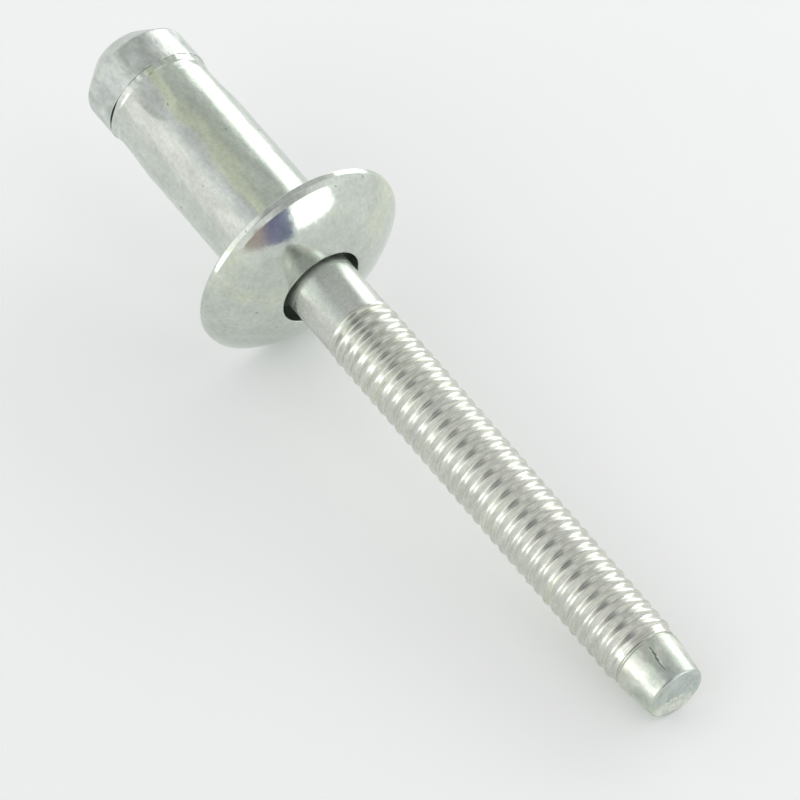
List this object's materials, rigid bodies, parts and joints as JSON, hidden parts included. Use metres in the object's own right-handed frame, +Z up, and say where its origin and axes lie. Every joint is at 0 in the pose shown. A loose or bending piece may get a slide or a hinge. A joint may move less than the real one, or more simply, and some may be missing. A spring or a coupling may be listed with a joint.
{
  "type": "structural blind rivet",
  "caption": "Unset steel blind rivet: a crimped sleeve with a domed flange on a headed mandrel with rolled pull grooves.",
  "frame": {"origin": "on the floor, under the middle of the rivet's box as it lies at rest", "axes": "+Z up; +X along the rivet on the floor, from the mandrel's head towards the free end of the stem; the rivet's axis dips 7.9 degrees towards +X"},
  "size_m": [0.051, 0.0128, 0.0127],
  "materials": {
    "plated_sleeve": "bright zinc plate, satin",
    "plated_mandrel": "bright zinc plate, satin"
  },
  "bodies": {
    "root": {"rivet_body": "plated_sleeve", "mandrel": "plated_mandrel"}
  },
  "joints": []
}
